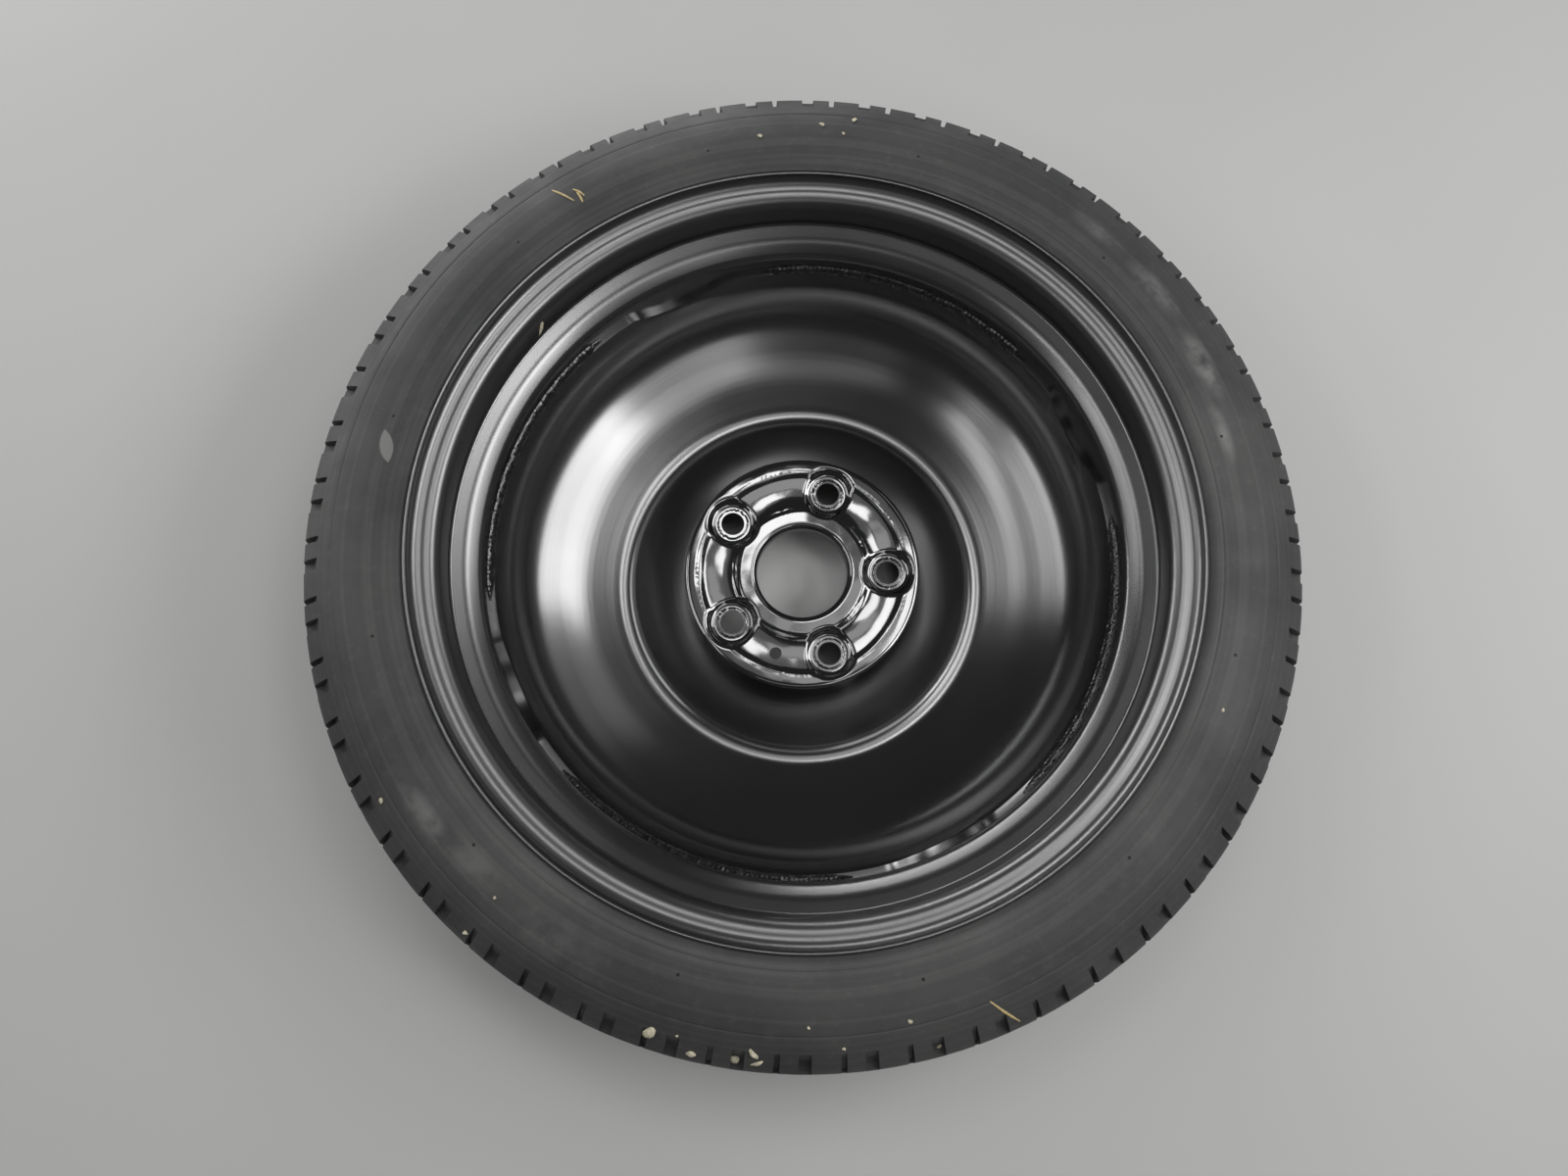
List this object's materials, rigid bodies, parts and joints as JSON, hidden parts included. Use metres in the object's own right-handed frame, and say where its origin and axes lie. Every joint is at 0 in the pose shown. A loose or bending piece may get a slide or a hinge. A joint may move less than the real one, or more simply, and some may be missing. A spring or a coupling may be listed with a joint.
{
  "type": "space saver spare wheel",
  "caption": "Narrow temporary-use tyre on a pressed black steel wheel with a dished disc, a hub bore, stud holes and a snap-in valve with a screw cap.",
  "frame": {"origin": "centre of the plane where the wheel meets the car's hub", "axes": "+Z along the wheel's axis towards the car (inboard), so the wheel lies on its outboard side"},
  "size_m": [0.604, 0.604, 0.1356],
  "materials": {
    "tyre_rubber": "matt, dusty",
    "wheel_paint": "semi-gloss black",
    "weld_paint": "rough weld under black paint",
    "valve_rubber": "satin moulded rubber",
    "brass": "turned",
    "gasket_plastic": "moulded",
    "seal_rubber": "matt",
    "spring_steel": "drawn wire",
    "cap_plastic": "moulded, fluted"
  },
  "bodies": {
    "wheel": {"tyre": "tyre_rubber", "rim": "wheel_paint", "wheel_disc": "wheel_paint", "weld_beads": "weld_paint", "valve_body": "valve_rubber", "valve_stem": "brass", "valve_core_body": "brass", "valve_core_gasket": "gasket_plastic", "valve_core_spring": "spring_steel"},
    "pin": {"valve_core_pin": "brass", "valve_core_seal": "seal_rubber"},
    "cap_washer": {"valve_cap_seal": "seal_rubber"},
    "cap": {"valve_cap": "cap_plastic"}
  },
  "joints": [
    {"name": "pin_push", "type": "slide", "parent": "wheel", "child": "pin", "axis": [0, -0.515, 0.8572], "range_m": [0, 0.0016], "stiffness_N_per_m": 300, "springref_m": -0.002, "deforming": ["valve_core_spring"]},
    {"name": "cap_travel", "type": "slide", "parent": "wheel", "child": "cap_washer", "axis": [0, 0.515, -0.8572], "range_m": [0, 0.00476]},
    {"name": "cap_turn", "type": "hinge", "parent": "cap_washer", "child": "cap", "pos_m": [0, -0.20731, 0.01239], "axis": [0, 0.515, -0.8572], "range_deg": [0, 2165]}
  ],
  "couplings": [
    {"joint": "cap_turn", "follows": "cap_travel", "rad_per_m": 7913.3}
  ]
}
